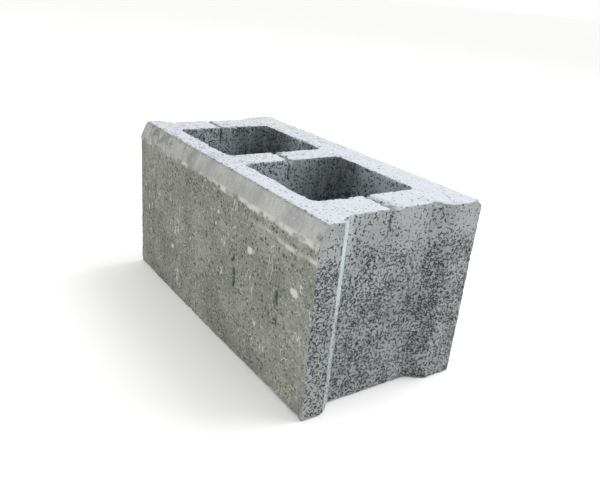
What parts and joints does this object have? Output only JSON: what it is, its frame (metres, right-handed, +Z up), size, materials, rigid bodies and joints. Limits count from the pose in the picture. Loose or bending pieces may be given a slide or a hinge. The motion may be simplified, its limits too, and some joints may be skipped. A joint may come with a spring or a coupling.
{
  "type": "hollow concrete masonry block",
  "caption": "Hollow concrete masonry block with open upright cores, recessed ends, a chamfered top edge on one face and a break groove across its webs.",
  "frame": {"origin": "centre of the bottom of the block's overall box, on the surface that it stands on", "axes": "+X along the length of the block, +Y from the chamfered face to the plain face, +Z up"},
  "size_m": [0.39, 0.19, 0.19],
  "materials": {
    "face_concrete": "matt pressed concrete, closed and warm grey",
    "block_concrete": "matt pressed concrete, open textured and cool grey"
  },
  "bodies": {
    "root": {"front_face_shell": "face_concrete", "rear_face_shell": "block_concrete", "left_end_web": "block_concrete", "centre_web": "block_concrete", "right_end_web": "block_concrete"}
  },
  "joints": []
}
